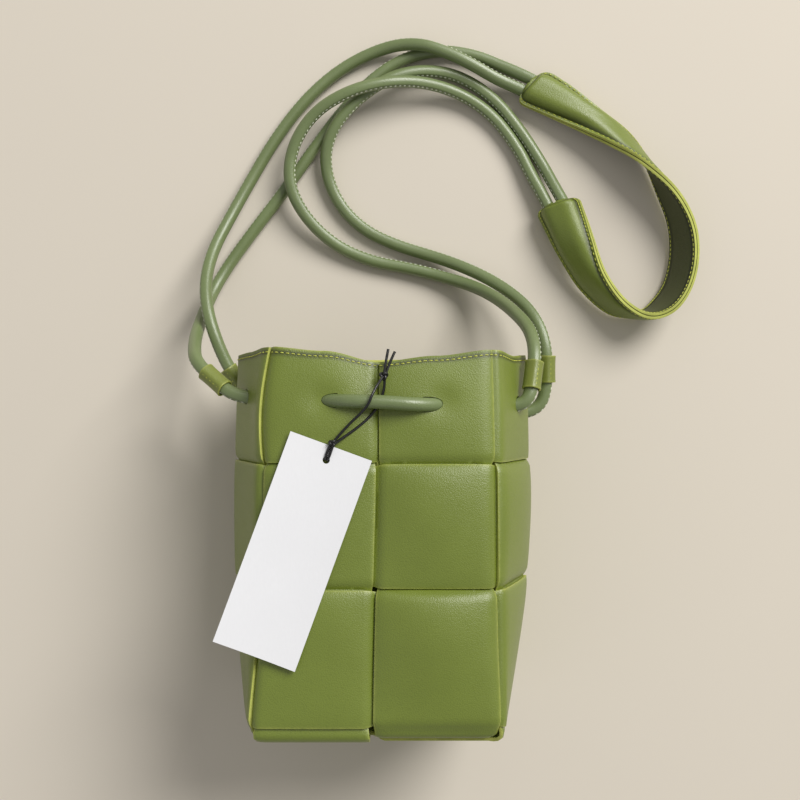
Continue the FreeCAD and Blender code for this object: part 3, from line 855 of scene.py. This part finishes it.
def cut_leather(name, base):
    """The fibrous cut edge of a strip."""
    if name in bpy.data.materials:
        return bpy.data.materials[name]
    material, tree, shader = new_material(name)
    place = node(tree, "ShaderNodeTexCoord").outputs["Object"]
    fibres = node(tree, "ShaderNodeTexNoise", Scale=1400.0, Detail=4.0)
    tree.links.new(place, fibres.inputs["Vector"])
    patterned(tree, shader, base, place, fibres.outputs["Fac"], 120.0, (0.62, 0.72, 1.12), (0.8, 0.0002))
    shader.inputs["Roughness"].default_value = 0.8
    return material


def thread(name, base, turns=1500.0, roughness=0.6):
    """Twisted thread: light plies with painted shade in the lines between them."""
    if name in bpy.data.materials:
        return bpy.data.materials[name]
    material, tree, shader = new_material(name)
    join = tree.links.new
    place = node(tree, "ShaderNodeTexCoord").outputs["Object"]
    slant = node(tree, "ShaderNodeMapping")
    slant.inputs["Rotation"].default_value = (0.3, 0.4, 0.7)
    plies = node(tree, "ShaderNodeTexWave", Scale=turns / 6.28, Distortion=2.0, Detail=2.0)
    join(place, slant.inputs["Vector"])
    join(slant.outputs[0], plies.inputs["Vector"])
    # Painted shade: the colour darkens in the grooves between the plies
    patterned(tree, shader, base, place, plies.outputs["Fac"], 90.0, (0.6, 0.82, 1.12), (0.7, 0.00015))
    shader.inputs["Roughness"].default_value = roughness
    return material


def tag_paper():
    """Smooth white card with faint fibres."""
    if "Tag card" in bpy.data.materials:
        return bpy.data.materials["Tag card"]
    material, tree, shader = new_material("Tag card")
    join = tree.links.new
    place = node(tree, "ShaderNodeTexCoord").outputs["Object"]
    stretch = node(tree, "ShaderNodeMapping")
    stretch.inputs["Scale"].default_value = (1.0, 0.35, 1.0)
    fibres = node(tree, "ShaderNodeTexNoise", Scale=900.0, Detail=6.0)
    join(place, stretch.inputs["Vector"])
    join(stretch.outputs[0], fibres.inputs["Vector"])
    patterned(tree, shader, colours().card, place, fibres.outputs["Fac"], 30.0, (0.95, 0.965, 1.0),
              (0.25, 0.0001))
    shader.inputs["Roughness"].default_value = 0.62
    return material


def waxed_string():
    """Black waxed cotton: twisted and slightly glossy."""
    material = thread("Waxed string", tuple(colours().string), turns=900.0, roughness=0.38)
    material.node_tree.nodes["Principled BSDF"].inputs["Coat Weight"].default_value = 0.2
    return material


def floor_finish():
    """A plain pale surface, very slightly uneven."""
    material, tree, shader = new_material("Pale floor")
    place = node(tree, "ShaderNodeTexCoord").outputs["Object"]
    shade = placed(tree, soft_mottle(), Scale=3.0)
    tree.links.new(place, shade.inputs["Vector"])
    base = tuple(bpy.context.scene.woven_bag_stage.floor)
    tree.links.new(blended(tree, shade.outputs["Shade"], scaled_colour(base, 0.985), base),
                   shader.inputs["Base Color"])
    shader.inputs["Roughness"].default_value = 0.75
    shader.inputs["Specular IOR Level"].default_value = 0.2
    return material


def strip_leather():
    return leather("Strip leather", tuple(colours().leather), tuple(colours().raw_edge))


def raw_edge():
    return cut_leather("Cut edge", tuple(colours().raw_edge))


def facing_leather():
    return leather("Facing leather", tuple(colours().facing), scaled_colour(colours().facing, 1.6),
                   scale=1600.0, depth=0.00004, roughness=0.6)


# Operators: the stage first, then the cords, then the bag

class Builder:
    """What every operator of this panel shares."""
    bl_options = {"REGISTER", "UNDO"}


def area_light(name, place, target, size, power, tint):
    data = bpy.data.lights.new(name, "AREA")
    data.shape = "DISK"
    data.size = size
    data.energy = power
    data.color = tint
    lamp = bpy.data.objects.new(name, data)
    lamp.location = place
    lamp.rotation_euler = (Vector(target) - Vector(place)).to_track_quat("-Z", "Y").to_euler()
    bpy.context.scene.collection.objects.link(lamp)


class BAG_OT_stage(Builder, bpy.types.Operator):
    """Sets up the floor, the soft lights and the camera that looks straight down"""
    bl_idname = "woven_bag.stage"
    bl_label = "Stage"

    def execute(self, context):
        stage = context.scene.woven_bag_stage
        deselect()
        bpy.ops.mesh.primitive_plane_add(size=6, location=(0, 0, 0))
        floor = context.object
        floor.name = "floor"
        floor.location = (0, 0, -0.0003)
        set_finish(floor, floor_finish())
        area_light("key", (1.95, 2.25, 2.5), (0, 0.06, 0.03), 2.2, stage.key, (1.0, 0.985, 0.95))
        area_light("fill", (-1.3, -0.5, 1.4), (0, 0.05, 0), 1.4, stage.fill, (0.93, 0.97, 1.0))
        sky = context.scene.world or bpy.data.worlds.new("sky")
        context.scene.world = sky
        sky.use_nodes = True
        light = sky.node_tree.nodes["Background"]
        light.inputs["Color"].default_value = (1.0, 0.985, 0.96, 1.0)
        light.inputs["Strength"].default_value = stage.sky
        lens = bpy.data.cameras.new("camera")
        lens.lens = stage.lens
        lens.sensor_width = 36
        lens.clip_start = 0.01
        camera = bpy.data.objects.new("camera", lens)
        camera.location = (*CAMERA_OVER, stage.camera_height)
        context.scene.collection.objects.link(camera)
        context.scene.camera = camera
        context.scene.view_settings.view_transform = "Standard"
        return {"FINISHED"}


def seam_side(point, heading):
    """Where a cord's seam lies: above it and to its right, but underneath across the bag's front."""
    flat = Vector((heading.x, heading.y, 0))
    if flat.length < 0.35:
        return None
    right = flat.normalized().cross(Vector((0, 0, 1)))
    roll = SEAM_UNDER if point.z > FACE[0] - 0.01 else SEAM_ROLL
    side = Vector((0, 0, 1)) * math.cos(roll) + right * math.sin(roll)
    return (side - heading * side.dot(heading)).normalized()


def cord_ring(radius):
    """Round, with a lapped seam at angle 0: a raised lip and a fine groove beside it."""
    lip = [(-0.5, 1.0), (-0.3, 1.02), (-0.14, 1.06), (0.0, 1.08), (0.1, 1.06), (0.14, 0.94),
           (0.24, 0.97), (0.4, 1.0)]
    rest = [(0.4 + (2 * math.pi - 0.9) * k / 15, 1.0) for k in range(1, 15)]
    return [(angle, radius * share) for angle, share in lip + rest]


class BAG_OT_cords(Builder, bpy.types.Operator):
    """Makes the two leather cords that draw the mouth in and form the strap, with their seams"""
    bl_idname = "woven_bag.cords"
    bl_label = "Cords"

    def execute(self, context):
        radius = sizes().cord / 2
        hide = leather("Cord leather", tuple(colours().cord), scaled_colour(colours().cord, 1.3),
                       scale=1700.0, depth=0.00004, roughness=0.36, mottle=40.0)
        seam = thread("Cord thread", tuple(colours().cord_thread))
        for name, route in (("front_cord", FRONT_ROUTE), ("rear_cord", REAR_ROUTE)):
            line = even_line(route, 0.0016)
            sides = carried_sides(line, seam_side)
            cord = tube_along(name + "_leather", line, sides, cord_ring(radius))
            set_finish(cord, hide)
            complete(cord, "bag", "cord", name)
            headings = line_directions(line)
            spots = []
            finer = even_line(route, CORD_PITCH)
            for k in range(2, len(finer) - 2):
                near = min(round(k * (len(line) - 1) / (len(finer) - 1)), len(line) - 1)
                beside = headings[near].cross(sides[near])
                out = sides[near] * math.cos(0.34) + beside * math.sin(0.34)
                spots.append((finer[k] + out * (radius * 0.98), headings[near], out))
            stitches = stitch_row(name + "_stitches", spots, *CORD_STITCH)
            set_finish(stitches, seam)
            complete(stitches, "bag", "thread")
        return {"FINISHED"}


class BAG_OT_weave(Builder, bpy.types.Operator):
    """Weaves the body: three closed bands over and under four long strips, with the cord holes"""
    bl_idname = "woven_bag.weave"
    bl_label = "Woven body"

    def execute(self, context):
        middle = (FACE[3] + BACK[3]) / 2
        left, right = FRONT_LEFT[3] + BASE_ROUND, FRONT_RIGHT[3] - BASE_ROUND
        face, rear = FACE[3] - BASE_ROUND, BACK[3] + BASE_ROUND
        strips = {
            "warp_strip_left": ((0, 5, True, left, MIDDLE[3]), False),
            "warp_strip_right": ((1, 4, True, MIDDLE[3], right), True),
            "cross_strip_front": ((7, 2, False, middle, face), True),
            "cross_strip_rear": ((6, 3, False, rear, middle), False)}
        woven = {name: long_strip(name + "_leather", *strip) for name, strip in strips.items()}
        for row, name in enumerate(("band_upper", "band_middle", "band_lower")):
            woven[name] = band_piece(row, name + "_leather")
        cutters = hole_cutters()
        for name, piece in woven.items():
            set_finish(piece, strip_leather(), raw_edge())
            give_thickness(piece, sizes().leather, 0.00018)
            if name not in ("band_middle", "band_lower"):
                use_modifier(piece, "BOOLEAN", operation="DIFFERENCE", object=cutters,
                             solver="EXACT")
            complete(piece, "bag", "leather", name)
        bpy.data.objects.remove(cutters)
        return {"FINISHED"}


class BAG_OT_facing(Builder, bpy.types.Operator):
    """Sews the narrow facing inside the mouth"""
    bl_idname = "woven_bag.facing"
    bl_label = "Mouth facing"

    def execute(self, context):
        depth = sizes().facing_height / (LINES[0] - LINES[1])
        inwards = sizes().layer + sizes().leather / 2 + 0.0003 + sizes().facing / 2
        place = lambda a, b: on_body(b * COLUMNS, 0.004 + a * depth, -inwards)
        facing = shaped_grid("mouth_facing_leather", 8, 16 * COLUMNS, place, edge_nearness, joined=True)
        set_finish(facing, facing_leather(), raw_edge())
        give_thickness(facing, sizes().facing, 0.0002)
        complete(facing, "bag", "facing", "mouth_facing")
        return {"FINISHED"}


class BAG_OT_rim_stitches(Builder, bpy.types.Operator):
    """Runs a line of stitches round the mouth, just below the rim"""
    bl_idname = "woven_bag.rim_stitches"
    bl_label = "Rim stitches"

    def execute(self, context):
        over = [column % 2 == 0 for column in range(COLUMNS)]
        v = STITCH_LINE
        outside = sizes().leather / 2 + sizes().thread * 0.3

        def spot(u):
            own = level(u, over, closed=True) if over[math.floor(u) % COLUMNS] else 1.0
            return on_body(u, v, sizes().layer * own + outside)

        spots = []
        for column in range(COLUMNS):
            count = round((spot(column + 0.98) - spot(column + 0.02)).length / sizes().stitch_pitch)
            for k in range(count):
                u = column + (k + 0.5) / count
                ahead, behind = spot(u + 0.01), spot(u - 0.01)
                down = on_body(u, v + 0.02, 0) - on_body(u, v, 0)
                if (ahead - behind).length < 0.0019:
                    spots.append((spot(u), ahead - behind, down.cross(ahead - behind)))
        stitches = stitch_row("rim_stitching_thread", spots, sizes().stitch, sizes().thread)
        set_finish(stitches, thread("Thread", tuple(colours().thread)))
        complete(stitches, "bag", "thread", "rim_stitching")
        return {"FINISHED"}


class BAG_OT_sleeves(Builder, bpy.types.Operator):
    """Rolls the four short leather sleeves that slide on the cords beside the mouth"""
    bl_idname = "woven_bag.sleeves"
    bl_label = "Cord sleeves"

    def execute(self, context):
        hide = leather("Sleeve leather", tuple(colours().sleeve), tuple(colours().raw_edge))
        wall, half = sizes().sleeve_wall, sizes().sleeve / 2
        radius = sizes().cord / 2 + sizes().sleeve_room + wall / 2
        for name, (route, index, shift) in SLEEVES.items():
            before, corner, after = (Vector(route[index + k]) for k in (-1, 0, 1))
            along = (after - before).normalized()
            centre = corner + along * shift
            up = Vector((0, 0, 1))
            up = (up - along * up.dot(along)).normalized()
            beside = along.cross(up)

            def place(a, b):
                angle = 2 * math.pi * a
                lap = 0.0004 * math.exp(-(((a + 0.5) % 1 - 0.5) / 0.05) ** 2)
                flare = 0.00025 * abs(2 * b - 1) ** 4
                out = up * math.cos(angle) + beside * math.sin(angle)
                return centre + along * (half * (2 * b - 1)) + out * (radius + lap + flare)

            nearness = lambda a, b: max(0.0, 1 - min(b, 1 - b) * 2 * half / 0.003)
            sleeve = shaped_grid("sleeve_" + name, 36, 14, place, nearness, joined=True)
            set_finish(sleeve, hide, raw_edge())
            give_thickness(sleeve, wall, 0.00015)
            complete(sleeve, "sleeve_" + name, "sleeve", "cord_sleeve_" + name)
            out = (up * math.cos(0.35) + beside * math.sin(0.35)).normalized()
            reach = radius + wall / 2
            spots = [(centre + along * (k * 0.0026) + out * reach, along, out) for k in (-2, -1, 0, 1, 2)]
            stitches = stitch_row("sleeve_stitches_" + name, spots, *SLEEVE_STITCH)
            set_finish(stitches, thread("Thread", tuple(colours().thread)))
            complete(stitches, "sleeve_" + name, "thread")
        return {"FINISHED"}


def along_edge(which, s):
    """A point of the pad's edge 0 or 1, s from 0 to 1 along it, on a smooth line.

    Towards its far end the pad leans over: its edge 0 rises.
    """
    count = len(PAD_EDGES) - 1
    spot = min(max(s, 0.0), 1.0) * count
    k = min(int(spot), count - 1)
    t = spot - k
    points = [Vector(PAD_EDGES[min(max(k + j, 0), count)][which]) for j in (-1, 0, 1, 2)]
    before, here, there, after = points
    lean = Vector((0, 0, PAD_LEAN * (1 - which) * smooth((s - 0.72) / 0.2)))
    return lean + 0.5 * (2 * here + (there - before) * t
                         + (2 * before - 5 * here + 4 * there - after) * t ** 2
                         + (3 * here - before - 3 * there + after) * t ** 3)


def pad_frame(s):
    """The pad's middle at s, its half width, and its directions along, across and outwards."""
    step = 0.004
    middle = lambda t: (along_edge(0, t) + along_edge(1, t)) / 2
    along = (middle(min(s + step, 1)) - middle(max(s - step, 0))).normalized()
    across = along_edge(1, s) - along_edge(0, s)
    half = across.length / 2
    across.normalize()
    return middle(s), half, along, across, along.cross(across).normalized()


PAD_LENGTH = sum((pad_frame((k + 1) / 60)[0] - pad_frame(k / 60)[0]).length for k in range(60))


def pad_seam(s, a):
    """How near a place is to the groove between the pad's border and its middle."""
    half = pad_frame(s)[1]
    outline = min(half * (1 - abs(2 * a - 1)), min(s, 1 - s) * PAD_LENGTH)
    return math.exp(-((outline - sizes().pad_border - 0.0004) / 0.0006) ** 2)


def crowded(b):
    """0 to 1, slower near both ends, where the pad's outline is rounded."""
    return b - 0.75 * math.sin(2 * math.pi * b) / (2 * math.pi)


def pad_point(side, s, a, lift=0.0):
    """A point of one pad layer's middle: a from 0 to 1 across it, lift further outwards."""
    middle, half, _, across, out = pad_frame(s)
    from_end = min(s, 1 - s) * PAD_LENGTH
    if from_end < PAD_CORNER:
        half += math.sqrt(max(0.0, PAD_CORNER ** 2 - (PAD_CORNER - from_end) ** 2)) - PAD_CORNER
    sideways = (2 * a - 1) * half
    room = PAD_FLAT + (sizes().pad_room - PAD_FLAT) * smooth(1 - (from_end - PAD_FULL) / PAD_FALL)
    inner = min(1.0, abs(sideways) / (half - sizes().pad_border))
    swell = (1 - inner ** 4) ** 0.8
    room *= 1.0 if side > 0 else PAD_UNDERSIDE
    dome = PAD_DOME * (side > 0) * math.sqrt(max(0.0, 1 - (sideways / half) ** 2)) * swell
    lip = PAD_LIP * (1 - smooth((from_end - sizes().pad_border) / 0.0022)) * swell
    groove = PAD_GROOVE * pad_seam(s, a)
    height = (0.00025 + (room - 0.00015) * swell + dome - lip - groove * (1 - swell)
              + sizes().pad_leather / 2 + lift)
    return middle + across * sideways + out * (side * height)


class BAG_OT_pad(Builder, bpy.types.Operator):
    """Makes the shoulder pad: two stitched layers whose channel holds all four cord ends"""
    bl_idname = "woven_bag.pad"
    bl_label = "Shoulder pad"

    def execute(self, context):
        # Painted shade: the inner layer gets a far darker colour than the outer one, standing for the shade
        # inside the pad's loop
        shaded_lining = leather("Pad lining", scaled_colour(colours().facing, 1.15),
                         scaled_colour(colours().facing, 2.0), scale=1300.0, depth=0.00006, roughness=0.6)
        nearness = lambda a, b: max(0.0, 1 - min(a, 1 - a) * 0.024 / 0.0025)
        for name, side, finish, slot in (("pad_outer", 1, strip_leather(), "leather"),
                                         ("pad_inner", -1, shaded_lining, "facing")):
            place = lambda a, b: pad_point(side, crowded(b), a)
            # Nearness to the groove inside the border, from which the leather paints shade
            seam = lambda a, b: pad_seam(crowded(b), a)
            layer = shaped_grid(name + "_leather", 36, 190, place, nearness, seam)
            set_finish(layer, finish, raw_edge())
            give_thickness(layer, sizes().pad_leather, 0.0003)
            complete(layer, "bag", slot, name)
            spots = []
            count = round(PAD_LENGTH / sizes().stitch_pitch)
            lift = sizes().pad_leather / 2 + sizes().thread * 0.25
            for k in range(1, count - 1):
                s = (k + 0.5) / count
                half = pad_frame(s)[1]
                for a in (0.00125 / (2 * half), 1 - 0.00125 / (2 * half)):
                    here, ahead = pad_point(side, s, a, lift), pad_point(side, s + 0.004, a, lift)
                    spots.append((here, ahead - here, pad_frame(s)[4] * side))
            stitches = stitch_row(name + "_stitches", spots, sizes().stitch, sizes().thread)
            set_finish(stitches, thread("Thread", tuple(colours().thread)))
            complete(stitches, "bag", "thread")
        return {"FINISHED"}


def on_tag(x, y, z):
    return TAG_CENTRE + TAG_ACROSS * x + TAG_UP * y + TAG_FACE * z


class BAG_OT_tag(Builder, bpy.types.Operator):
    """Cuts the paper tag, punches its hole and ties its hitch of string"""
    bl_idname = "woven_bag.tag"
    bl_label = "Paper tag"

    def execute(self, context):
        card, half_width, half_length = sizes().card, TAG_WIDTH / 2, TAG_LENGTH / 2

        def place(a, b):
            x, y = (2 * a - 1) * half_width, (2 * b - 1) * half_length
            curl = 0.0009 * (2 * a - 1) ** 2 + 0.0012 * max(0.0, -y / half_length) ** 2
            return on_tag(x, y, card / 2 + curl)

        tag = shaped_grid("tag_card", 24, 60, place)
        set_finish(tag, tag_paper(), tag_paper())
        use_modifier(tag, "SOLIDIFY", thickness=card, offset=0.0, material_offset_rim=1)
        hole = on_tag(0, half_length - TAG_HOLE_DROP, 0)
        deselect()
        bpy.ops.mesh.primitive_cylinder_add(vertices=40, radius=0.0018, depth=0.01, location=hole)
        punch = context.object
        punch.rotation_euler = TAG_FACE.to_track_quat("Z", "Y").to_euler()
        use_modifier(tag, "BOOLEAN", operation="DIFFERENCE", object=punch, solver="EXACT")
        bpy.data.objects.remove(punch)
        complete(tag, "tag", "card", "hang_tag")
        above = card + sizes().string / 2 + 0.0002
        top = half_length
        for name, side in (("tag_hitch_left", -1), ("tag_hitch_right", 1)):
            points = [on_tag(side * 0.0006, top - TAG_HOLE_DROP, -0.0004),
                      on_tag(side * 0.0007, top - TAG_HOLE_DROP + 0.0008, above * 0.7),
                      on_tag(side * 0.0009, top - TAG_HOLE_DROP + 0.003, above),
                      on_tag(side * 0.0007, top + 0.0006, above)]
            line = even_line(points, 0.0004)
            hitch = tube_along(name, line, carried_sides(line), round_ring(sizes().string / 2, 12))
            set_finish(hitch, waxed_string())
            complete(hitch, "tag", "string", "tag_hitch")
        return {"FINISHED"}


class BAG_OT_tag_string(Builder, bpy.types.Operator):
    """Loops the black string round the front cord and knots it, with two cut tails"""
    bl_idname = "woven_bag.tag_string"
    bl_label = "Tag string"

    def execute(self, context):
        radius = sizes().string / 2

        def knot_turns(centre, size):
            turns = []
            for k in range(67):
                t = 2 * math.pi * k / 64
                turns.append(centre + size * Vector((math.sin(t) + 2 * math.sin(2 * t),
                                                     math.cos(t) - 2 * math.cos(2 * t),
                                                     -1.3 * math.sin(3 * t))))
            return turns

        pieces = {"tag_string_over": (OVER_STRAND, "tag_loop"),
                  "tag_string_under": (UNDER_STRAND, "tag_loop"),
                  "tag_tail_short": (TAILS[0], "tag_knot"),
                  "tag_tail_long": (TAILS[1], "tag_knot"),
                  "tag_knot_turns": (knot_turns(KNOT, 0.00062), "tag_knot"),
                  "tag_knot_lower": (knot_turns(LOWER_KNOT, 0.00052), "tag_loop")}
        for name, (points, packed) in pieces.items():
            line = even_line(points, 0.0004)
            piece = tube_along(name, line, carried_sides(line), round_ring(radius, 12))
            set_finish(piece, waxed_string())
            complete(piece, "tag_string", "string", packed)
        return {"FINISHED"}


class BAG_PT_panel(bpy.types.Panel):
    """Lists the bag's pieces and settings"""
    bl_label = "Woven bag"
    bl_idname = "BAG_PT_panel"
    bl_space_type = "VIEW_3D"
    bl_region_type = "UI"
    bl_category = "Woven bag"

    def draw(self, context):
        for operator in OPERATORS:
            self.layout.operator(operator.bl_idname)
        for name in SETTINGS:
            box = self.layout.box()
            settings = getattr(context.scene, name)
            for entry in settings.__annotations__:
                box.prop(settings, entry)


OPERATORS = (BAG_OT_stage, BAG_OT_cords, BAG_OT_weave, BAG_OT_facing, BAG_OT_rim_stitches,
             BAG_OT_sleeves, BAG_OT_pad, BAG_OT_tag, BAG_OT_tag_string)
SETTINGS = {"woven_bag_sizes": BagSizes, "woven_bag_colours": BagColours, "woven_bag_stage": BagStage}


def register():
    for kind in (*SETTINGS.values(), *OPERATORS, BAG_PT_panel):
        bpy.utils.register_class(kind)
    for name, kind in SETTINGS.items():
        setattr(bpy.types.Scene, name, PointerProperty(type=kind))


def unregister():
    for name in SETTINGS:
        delattr(bpy.types.Scene, name)
    for kind in (BAG_PT_panel, *reversed(OPERATORS), *SETTINGS.values()):
        bpy.utils.unregister_class(kind)


def main():
    register()
    for step in ("stage", "cords", "weave", "facing", "rim_stitches", "sleeves", "pad", "tag",
                 "tag_string"):
        getattr(bpy.ops.woven_bag, step)()


if __name__ == "__main__":
    main()
